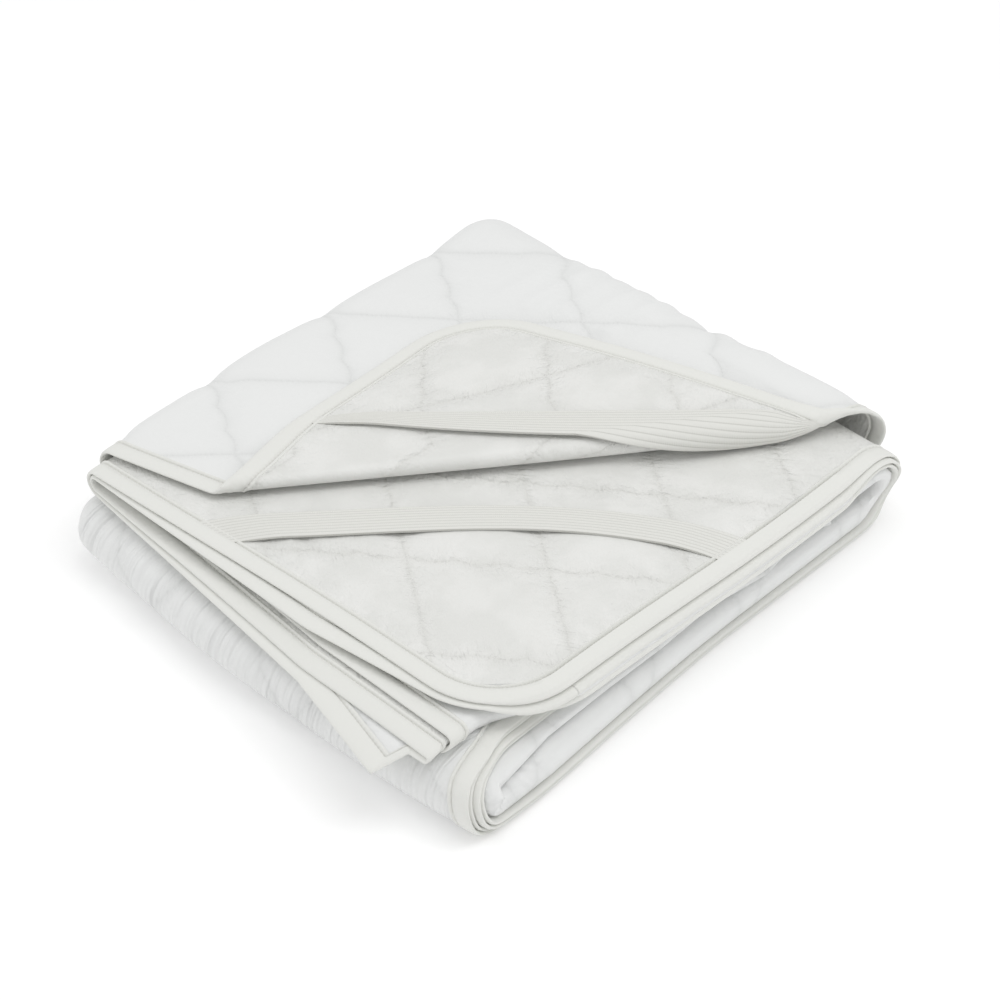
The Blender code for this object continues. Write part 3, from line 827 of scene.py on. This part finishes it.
class Finish:
    """A cloth material under construction."""

    def __init__(self, name, roughness, sheen=0.0, sheen_roughness=0.5):
        self.material = bpy.data.materials.new(name)
        self.material.use_nodes = True
        self.tree = self.material.node_tree
        self.shader = self.tree.nodes["Principled BSDF"]
        self.set("Roughness", roughness)
        self.set("Sheen Weight", sheen)
        self.set("Sheen Roughness", sheen_roughness)
        self.set("Specular IOR Level", 0.35)
        self.place = self.attribute("flat_place")
        self.s, self.t = self.halves(self.place)

    def node(self, kind, settings, sockets, output=0):
        """Add a node: its settings first, then the values or wires of its sockets."""
        made = self.tree.nodes.new(kind)
        for name, value in settings.items():
            setattr(made, name, value)
        for name, value in sockets.items():
            if isinstance(value, Wire):
                self.tree.links.new(value.socket, made.inputs[name])
            else:
                made.inputs[name].default_value = value
        return Wire(self, made.outputs[output])

    def set(self, socket, value):
        """Set or wire one socket of the surface shader."""
        if isinstance(value, Wire):
            self.tree.links.new(value.socket, self.shader.inputs[socket])
        else:
            self.shader.inputs[socket].default_value = value

    def attribute(self, name):
        """A place that is kept on the mesh."""
        return self.node("ShaderNodeAttribute", {"attribute_name": name}, {}, "Vector")

    def halves(self, place):
        """The first two numbers of a place."""
        split = self.node("ShaderNodeSeparateXYZ", {}, {0: place})
        return split, Wire(self, split.socket.node.outputs["Y"])

    def pair(self, first, second):
        """A place made of two numbers, for patterns that are drawn out one way."""
        return self.node("ShaderNodeCombineXYZ", {}, {0: first, 1: second})

    def noise(self, vector, scale, detail=2.0):
        """Soft cloudy noise, about 0.5 in the middle."""
        sockets = {"Vector": vector, "Scale": scale, "Detail": detail}
        return self.node("ShaderNodeTexNoise", {}, sockets)

    def mix(self, share, first, second):
        """Blend two colours."""
        sockets = {0: share, 6: (*first, 1) if isinstance(first, tuple) else first,
                   7: (*second, 1) if isinstance(second, tuple) else second}
        return self.node("ShaderNodeMix", {"data_type": "RGBA"}, sockets, 2)

    def relief(self, height, reach=1.0):
        """Bend the surface's normal by a height in metres."""
        bump = self.node("ShaderNodeBump", {}, {"Height": height, "Distance": reach, "Strength": 1.0})
        self.set("Normal", bump)


print("shader helpers ready")

# %% [markdown]
# Both faces share the seams: the distance to the nearest one, and the place along it for the
# thread. The expression is the same as the mesh's, now in wires.

# %% Seams for the materials
STITCH = 0.0028
THREAD = 0.00045
GATHER_ALONG = 330.0
GATHER_AWAY = 70.0


def seams(finish):
    """Distance to the nearest quilting seam, and the place along it, as wires in metres."""
    rising, falling = finish.halves(finish.attribute("seam_place"))
    shallow = abs((falling * (SCALLOPS * math.pi)).sine()) * SHALLOW_SCALLOP
    deep = abs((rising * (SCALLOPS * math.pi)).sine()) * DEEP_SCALLOP
    first = (rising - shallow).from_whole()
    second = (falling + deep).from_whole()
    nearer = first < second
    run = falling * nearer + rising * (1 - nearer)
    return first.least(second) * SEAM_PITCH, run * SEAM_PITCH


def puckers(finish, distance, run, reach, height):
    """Little uneven gathers that cross each seam and fade away from it."""
    drawn_out = finish.pair(run * GATHER_ALONG, distance * GATHER_AWAY + finish.s * 20)
    ripple = finish.noise(drawn_out, 1.0, 2.0) - 0.5
    strong = finish.noise(finish.place, 28.0).between(0.30, 0.62)
    return ripple * distance.fading(reach) * strong * height


def thread(distance, run, height):
    """A row of stitches that lies in the seam."""
    stitches = (run * (2 * math.pi / STITCH)).sine() * 0.5 + 0.5
    return stitches * (distance / THREAD).fading(1.0) * height


# %% [markdown]
# The cotton face is a smooth, tightly woven sheeting. From a step away only the seams and soft
# wrinkles show, with a faint bloom at grazing angles, so it gets a fine weave in its relief, a
# little sheen, and painted shade that makes its colour a touch greyer down in the seams.

# %% Cotton
COTTON_COLOUR = (0.80, 0.807, 0.80)
COTTON_SEAM_SHADE = (0.72, 0.728, 0.72)
WEAVE = 0.00055
WRINKLE = 0.0060
ROLL_RISE = (LOW_END - 0.035, LOW_END - 0.012)
ROLL_FALL = (MID_START - 0.012, MID_START + 0.010)


def weave(finish, pitch, height):
    """Threads over and under, with their unevenness."""
    up = (finish.s * (2 * math.pi / pitch)).sine()
    over = (finish.t * (2 * math.pi / pitch)).sine()
    slub = finish.noise(finish.pair(finish.s * 900, finish.t * 120), 1.0) * 0.6 + 0.7
    return up * over * slub * height


def roll_wrinkles(finish):
    """Slanting wrinkles round the front roll, where the layers inside it hold the cloth back."""
    outer = finish.t.between(*ROLL_RISE) - finish.t.between(*ROLL_FALL)
    drawn_out = finish.pair(finish.s * 130 + finish.t * 70, finish.t * 14)
    return (finish.noise(drawn_out, 1.0, 2.0) - 0.5) * outer * WRINKLE


def cotton():
    """Quilted cotton sheeting."""
    finish = Finish("quilted_cotton", 0.82, sheen=0.12)
    distance, run = seams(finish)
    soft = finish.noise(finish.place, 70.0, 3.0) * 0.00055
    fine = finish.noise(finish.place, 320.0, 2.0) * 0.00009
    valley = distance.fading(0.0016) * -0.00045
    folds = puckers(finish, distance, run, 0.0075, 0.0010)
    height = soft + fine + valley + folds + thread(distance, run, 0.0002) + roll_wrinkles(finish)
    finish.relief(height + weave(finish, WEAVE, 0.000012))
    # Painted shade: the colour turns greyer down in each seam.
    painted_seam_shade = distance.fading(0.0022) * 0.75
    finish.set("Base Color", finish.mix(painted_seam_shade, COTTON_COLOUR, COTTON_SEAM_SHADE))
    return finish.material


# %% [markdown]
# The other face is a knitted back with a thin film on it. It is a little greyer and warmer, with
# random paler patches, and it crinkles where a seam gathers it, in short creases that get a painted
# highlight along their crests. The creases are a ridged noise that is drawn out across the seams
# and is strongest beside them, and the seams get painted shade.

# %% Waterproof film
FILM_COLOUR = (0.733, 0.736, 0.712)
FILM_PATCH_AND_HIGHLIGHT = (0.81, 0.81, 0.79)
FILM_SEAM_SHADE = (0.68, 0.68, 0.65)
EDGE_CRINKLES = 0.015


def crinkles(finish, scale):
    """Short sharp creases, 1 along their crests."""
    cloud = finish.noise(finish.place, scale, 3.0)
    return 1 - (abs(cloud - 0.5) * 9).least(1.0)


def film():
    """A waterproof film on a soft backing."""
    finish = Finish("waterproof_film", 0.5, sheen=0.05)
    distance, run = seams(finish)
    by_edge = finish.s.least(FLAT_LENGTH - finish.t).least(finish.t) - TAPE_WIDTH
    near = distance.fading(0.0085).most(by_edge.fading(EDGE_CRINKLES))
    crease = crinkles(finish, 95.0) * near
    pebbles = crinkles(finish, 260.0) * (near * 0.6 + 0.4)
    soft = finish.noise(finish.place, 55.0, 3.0) * 0.0007
    valley = distance.fading(0.0016) * -0.0005
    folds = puckers(finish, distance, run, 0.009, 0.0019)
    height = soft + valley + folds + crease * 0.00045 + pebbles * 0.00014
    finish.relief(height + thread(distance, run, 0.0002))
    patch = finish.noise(finish.place, 30.0, 3.0).between(0.4, 0.62)
    # Random paler patches, and a painted highlight along the crests of the crinkles.
    body = finish.mix(patch * 0.55 + crease * 0.45, FILM_COLOUR, FILM_PATCH_AND_HIGHLIGHT)
    # Painted shade: the colour turns darker down in each seam.
    finish.set("Base Color", finish.mix(distance.fading(0.002) * 0.6, body, FILM_SEAM_SHADE))
    finish.set("Roughness", 0.62 - crease * 0.22 - pebbles * 0.08)
    return finish.material


# %% The quilted cloth
SHOWN_TOP = (-0.035, -0.015)
SHOWN_FRONT = (0.008, 0.018)
HIDDEN_INSIDE = (-0.010, 0.0)
UNDER_TURN = (0.0, 0.012)
BARE = (0.020, 0.045)


def cotton_face(s, t):
    """Height of the cotton face in the cloth, raised only where it shows."""
    outermost = 1 - ease(s, QUARTER_AT, QUARTER_END)
    run = t + TOP_SETBACK - edge_lead(s)
    turned_under = ease(past_flap_line(s, t)[1], *UNDER_TURN)
    top = (1 - ease(run - LOW_START, *SHOWN_TOP)) * (1 - turned_under)
    front = ease(run - LOW_END, *SHOWN_FRONT) * (1 - ease(run - MID_START, *HIDDEN_INSIDE))
    shown = outermost * np.where(t < HALF_AT, np.maximum(top, front), 0)
    return CLOTH / 2 + shown * (puff(s, t) + creases(s, t, "cotton on top"))


def film_face(s, t):
    """Depth of the film face in the cloth, raised only where the turned corner lays it bare."""
    from_end = np.minimum(t, FLAT_LENGTH - t)
    past = np.where(t < HALF_AT, past_flap_line(s, t)[1], from_flap_line(s, from_end)[1])
    relief = np.where(t < HALF_AT, creases(s, from_end, "film on the turned corner"),
                      creases(s, from_end, "film below"))
    return -CLOTH / 2 - ease(past, *BARE) * (puff(s, t) + relief)


def make_cloth():
    """The quilted sheet, folded."""
    flat = flat_grid(*sheet_places())
    cut_finer(flat)
    finish_flat(flat)
    return thicken(flat, "quilted_cloth", cotton_face, film_face, cotton(), film())


cloth = make_cloth()
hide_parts("quilted_pad")

# %% [markdown]
# The binding is a woven tape folded over the raw edge and stitched down. Its section is a soft
# flat tube: round where it folds over the edge, thin at its inner lips, with a groove under the
# row of stitches. The section is swept round the sheet's outline, in flat places, and laid.

# %% Binding
RIM_STEP = 0.0006
LONGEST_STEP = 0.004
LARGEST_TURN = 9.0
TAPE_LIP = 0.0016
TAPE_HALF = 0.00125
STITCH_INSET = 0.0022
GROOVE = 0.0007
LIP_HEIGHT = 0.0017
TAPE_COLOUR = (0.770, 0.773, 0.740)
TAPE_SHADE = (0.62, 0.62, 0.58)


def rim_places():
    """Places close together all round the sheet's outline, and the way out at each."""
    hubs = ((1, 1, 0), (-1, 1, 90), (-1, -1, 180), (1, -1, 270))
    places, outward = [], []
    for side, end, start in hubs:
        hub = (FLAT_WIDTH / 2 + side * (FLAT_WIDTH / 2 - CORNER_RADIUS),
               FLAT_LENGTH / 2 + end * (FLAT_LENGTH / 2 - CORNER_RADIUS))
        for angle in np.radians(np.linspace(start, start + 90, 120)):
            way = np.array((math.cos(angle), math.sin(angle)))
            places.append(np.array(hub) + CORNER_RADIUS * way)
            outward.append(way)
    places.append(places[0])
    outward.append(outward[0])
    places, outward = np.array(places), np.array(outward)
    along = np.concatenate(([0], np.cumsum(np.linalg.norm(np.diff(places, axis=0), axis=1))))
    even = np.arange(0, along[-1], RIM_STEP)
    spread = [np.interp(even, along, column) for column in (*places.T, *outward.T)]
    return np.array(spread[:2]).T, np.array(spread[2:]).T, even


def thin_out(points):
    """Keep places only as often as the laid line turns or runs on."""
    way = np.diff(points, axis=0, append=points[:1])
    way /= np.linalg.norm(way, axis=1)[:, None]
    kept, last = [0], 0
    for here in range(1, len(points)):
        turned = np.degrees(np.arccos(np.clip(way[here] @ way[last], -1, 1)))
        if turned > LARGEST_TURN or (here - last) * RIM_STEP > LONGEST_STEP:
            kept.append(here)
            last = here
    return np.array(kept)


def tape_section():
    """The tape's section: distance in from the outline, and height in the cloth."""
    inner = TAPE_WIDTH + TAPE_LIP
    top = [(inner, CLOTH / 2 + 0.00005), (inner - 0.0002, LIP_HEIGHT * 0.85)]
    top += [(inner - 0.0008, LIP_HEIGHT), (inner - STITCH_INSET + 0.0006, TAPE_HALF)]
    top += [(inner - STITCH_INSET, TAPE_HALF - GROOVE)]
    top += [(inner - STITCH_INSET - 0.0007, TAPE_HALF), (0.0065, TAPE_HALF * 1.06), (0.003, TAPE_HALF)]
    top += [(0.0012, TAPE_HALF * 0.8), (0.0003, TAPE_HALF * 0.42)]
    return np.array(top + [(0.0, 0.0)] + [(inset, -height) for inset, height in reversed(top)])


def tape_finish():
    """Cream woven tape with a row of stitches."""
    finish = Finish("binding_tape", 0.78, sheen=0.15)
    rib = (finish.s * (2 * math.pi / 0.0007) + finish.t * (2 * math.pi / 0.0009)).sine()
    gather = finish.noise(finish.pair(finish.s * 220, finish.t * 60), 1.0, 2.0) * 0.0004
    stitch = (finish.s * (2 * math.pi / STITCH)).sine() * 0.5 + 0.5
    line = (abs(finish.t - (TAPE_WIDTH + TAPE_LIP - STITCH_INSET)) / 0.0005).fading(1.0)
    finish.relief(gather + rib * 0.00001 + stitch * line * 0.0003)
    finish.set("Base Color", finish.mix(line * (1 - stitch) * 0.8, TAPE_COLOUR, TAPE_SHADE))
    return finish.material


def make_binding():
    """The tape all round the sheet."""
    places, outward, along = rim_places()
    kept = thin_out(lay(*places.T, 0.0))
    places, outward, along = places[kept], outward[kept], along[kept]
    section = tape_section()
    s = places[:, 0, None] - outward[:, 0, None] * section[None, :, 0]
    t = places[:, 1, None] - outward[:, 1, None] * section[None, :, 0]
    points = lay(s, t, np.broadcast_to(section[:, 1], s.shape))
    rings, sides = s.shape
    ring, side = np.meshgrid(np.arange(rings), np.arange(sides), indexing="ij")
    next_ring, next_side = (ring + 1) % rings, (side + 1) % sides
    faces = np.stack((ring * sides + side, ring * sides + next_side,
                      next_ring * sides + next_side, next_ring * sides + side), axis=-1)
    data = bpy.data.meshes.new("edge_tape")
    data.from_pydata(points.reshape(-1, 3).tolist(), [], faces.reshape(-1, 4).tolist())
    insets = np.broadcast_to(section[:, 0], s.shape)
    keep_places(data, "flat_place", np.stack((np.repeat(along[:, None], sides, 1), insets, 0 * s), -1).reshape(-1, 3))
    return add_piece("edge_tape", data, tape_finish())


tape = make_binding()
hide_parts("binding")

# %% [markdown]
# The straps are ribbed elastic, caught under the binding at both ends. A strap is a narrow sheet
# of its own, stretched taut just above the film, so it follows the layer but not its puffs. Its
# ribs are real, because their shadows show. It curls a little, so it looks narrower than its
# 25 mm, and more so where an end is gathered into the seam. Each end is cut along the binding.

# %% Elastic straps
STRAP_WIDTH = 0.021
STRAP_THICKNESS = 0.0012
STRAP_STEPS = 150
STRAP_LINES = 81
STRAP_TUCK = 0.002
STRAP_LIFT = 0.0028
LIFT_RISE = 0.12
END_THICKNESS = 0.2
THICKNESS_RISE = 0.05
CURL = 0.0006
RIBS = 9
RIB_HEIGHT = 0.00032
WIDTH_SOFTENING = 0.03
BOW_SKEW = 1.5
ELASTIC_COLOUR = (0.735, 0.735, 0.70)
ELASTIC_GROOVE_SHADE = (0.56, 0.56, 0.525)
LOWER_WIDTHS = ((0.0, 0.80), (0.15, 0.90), (0.5, 0.94), (0.8, 0.92), (1.0, 0.84))
TURNED_WIDTHS = ((0.0, 0.34), (0.13, 0.56), (0.24, 0.74), (0.4, 0.90), (0.55, 1.0), (0.8, 1.0),
                 (0.90, 0.78), (1.0, 0.22))
STRAPS = (
    ("lower_elastic", "strap_on_the_lower_layer", 0.215, 0.186, 0.0135, LOWER_WIDTHS, False),
    ("turned_corner_elastic", "strap_on_the_turned_corner", 0.146, 0.271, 0.0, TURNED_WIDTHS, True),
)


def strap_finish():
    """Ribbed elastic: painted shade in the grooves between the ribs, and fine knitting across them."""
    finish = Finish("ribbed_elastic", 0.7, sheen=0.08)
    groove = abs((finish.t * (math.pi * RIBS / STRAP_WIDTH)).sine())
    knit = (finish.s * (2 * math.pi / 0.0011)).sine() * 0.00003
    finish.relief(knit + finish.noise(finish.place, 400.0) * 0.00006)
    # Painted shade: the colour darkens in the grooves between the ribs.
    dark = 1 - groove.between(0.0, 0.5)
    finish.set("Base Color", finish.mix(dark * 0.85, ELASTIC_COLOUR, ELASTIC_GROOVE_SHADE))
    return finish.material


def strap_places(reach_across, reach_along, bow, widths):
    """Flat places of a strap's points, counted from a corner of the sheet."""
    edge = TAPE_WIDTH - STRAP_TUCK
    begin, finish = np.array((reach_across, edge)), np.array((edge, reach_along))
    length = np.linalg.norm(finish - begin)
    way = (finish - begin) / length
    part = np.linspace(0, 1, STRAP_STEPS)[:, None]
    lateral = np.linspace(-0.5, 0.5, STRAP_LINES)[None, :] * STRAP_WIDTH
    spread = lateral * soften(part, *zip(*widths), WIDTH_SOFTENING)
    inward = spread + bow * np.sin(math.pi * part ** BOW_SKEW)
    run_start = spread[:1] * way[0] / way[1]
    run_end = length - spread[-1:] * way[1] / way[0]
    run = run_start + (run_end - run_start) * part
    s = begin[0] + way[0] * run + way[1] * inward
    t = begin[1] + way[1] * run - way[0] * inward
    return s, t, part, lateral + 0 * part, length


def grid_faces(rows_count, line_count):
    """Faces of a closed slab of two like grids of points, the second after the first."""
    count = rows_count * line_count
    row, line = np.meshgrid(np.arange(rows_count - 1), np.arange(line_count - 1), indexing="ij")
    corner = (row * line_count + line).ravel()
    quads = np.stack((corner, corner + 1, corner + line_count + 1, corner + line_count), axis=1)
    grid = np.arange(count).reshape(rows_count, line_count)
    rim = np.concatenate((grid[0], grid[1:, -1], grid[-1, -2::-1], grid[-2:0:-1, 0]))
    after = np.roll(rim, -1)
    sides = np.stack((rim + count, after + count, after, rim), axis=1)
    return quads.tolist() + (quads[:, ::-1] + count).tolist() + sides.tolist()


def make_strap(name, node, reach_across, reach_along, bow, widths, on_upper_half, elastic):
    """One strap across a corner, from edge to edge of the film side."""
    s, t, part, lateral, length = strap_places(reach_across, reach_along, bow, widths)
    if not on_upper_half:
        t = FLAT_LENGTH - t
    from_end = np.minimum(part, 1 - part)
    crown = CURL * (1 - (2 * lateral / STRAP_WIDTH) ** 2)
    rib = RIB_HEIGHT * np.abs(np.sin(math.pi * RIBS * (lateral / STRAP_WIDTH + 0.5)))
    thickness = END_THICKNESS + (1 - END_THICKNESS) * ease(from_end, 0, THICKNESS_RISE)
    near = CLOTH / 2 + (STRAP_LIFT + crown) * ease(from_end, 0, LIFT_RISE)
    far = near + (STRAP_THICKNESS + rib) * thickness
    points = np.concatenate((lay(s, t, -near).reshape(-1, 3), lay(s, t, -far).reshape(-1, 3)))
    data = bpy.data.meshes.new(name)
    data.from_pydata(points.tolist(), [], grid_faces(*s.shape))
    flat = np.stack((part * length + 0 * lateral, lateral + STRAP_WIDTH / 2, 0 * s), -1).reshape(-1, 3)
    keep_places(data, "flat_place", np.concatenate((flat, flat)))
    tidy = bmesh.new()
    tidy.from_mesh(data)
    bmesh.ops.recalc_face_normals(tidy, faces=tidy.faces)
    tidy.to_mesh(data)
    tidy.free()
    piece = add_piece(name, data, elastic)
    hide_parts(node)
    return piece


elastic = strap_finish()
straps = [make_strap(*strap, elastic) for strap in STRAPS]

# %% [markdown]
# The setting is a plain white table under broad soft light, as for a catalogue. A bright surround
# and a large light overhead leave only a narrow shadow round the foot of the stack. A light on the
# right and behind models the quilting, and weak ones on the left and in front fill the sides.

# %% Table and light
TABLE_SIZE = 8.0
TABLE_COLOUR = (0.93, 0.93, 0.93)
TABLE_GLOW = 0.13
SURROUND = 0.715
LIGHTS = (
    ("overhead", CAMERA_BEARING + 60, 80, 1.8, 1.2, 6.5),
    ("right_behind", CAMERA_BEARING + 82, 58, 1.8, 0.6, 3.0),
    ("left", CAMERA_BEARING - 90, 35, 1.8, 0.9, 2.8),
    ("right_front", CAMERA_BEARING + 38, 28, 1.8, 1.6, 0.8),
)


def add_table():
    """A wide white table top just under the stack."""
    data = bpy.data.meshes.new("table_top")
    half = TABLE_SIZE / 2
    corners = [(-half, -half, 0), (half, -half, 0), (half, half, 0), (-half, half, 0)]
    data.from_pydata(corners, [], [(0, 1, 2, 3)])
    material = bpy.data.materials.new("table_white")
    material.use_nodes = True
    shader = material.node_tree.nodes["Principled BSDF"]
    shader.inputs["Base Color"].default_value = (*TABLE_COLOUR, 1)
    shader.inputs["Emission Color"].default_value = (1, 1, 1, 1)
    shader.inputs["Emission Strength"].default_value = TABLE_GLOW
    shader.inputs["Roughness"].default_value = 0.9
    shader.inputs["Specular IOR Level"].default_value = 0.1
    data.materials.append(material)
    table = bpy.data.objects.new("table_top", data)
    bpy.context.scene.collection.objects.link(table)
    table.location.z = packed_box[0].z - 0.0003


def add_light(name, bearing, rise, distance, size, power):
    """A square soft light that faces the stack."""
    data = bpy.data.lights.new(name, "AREA")
    data.size = size
    data.energy = power
    light = bpy.data.objects.new(name, data)
    bpy.context.scene.collection.objects.link(light)
    away = look_from(bearing, rise)
    light.location = away * distance
    light.rotation_euler = (-away).to_track_quat("-Z", "Y").to_euler()


def add_surround():
    """An even white surround."""
    world = bpy.data.worlds.new("surround")
    bpy.context.scene.world = world
    world.use_nodes = True
    world.node_tree.nodes["Background"].inputs["Color"].default_value = (1, 1, 1, 1)
    world.node_tree.nodes["Background"].inputs["Strength"].default_value = SURROUND


add_table()
for light in LIGHTS:
    add_light(*light)
add_surround()
bpy.context.scene.view_settings.view_transform = "Standard"
print(len(LIGHTS), "soft lights")
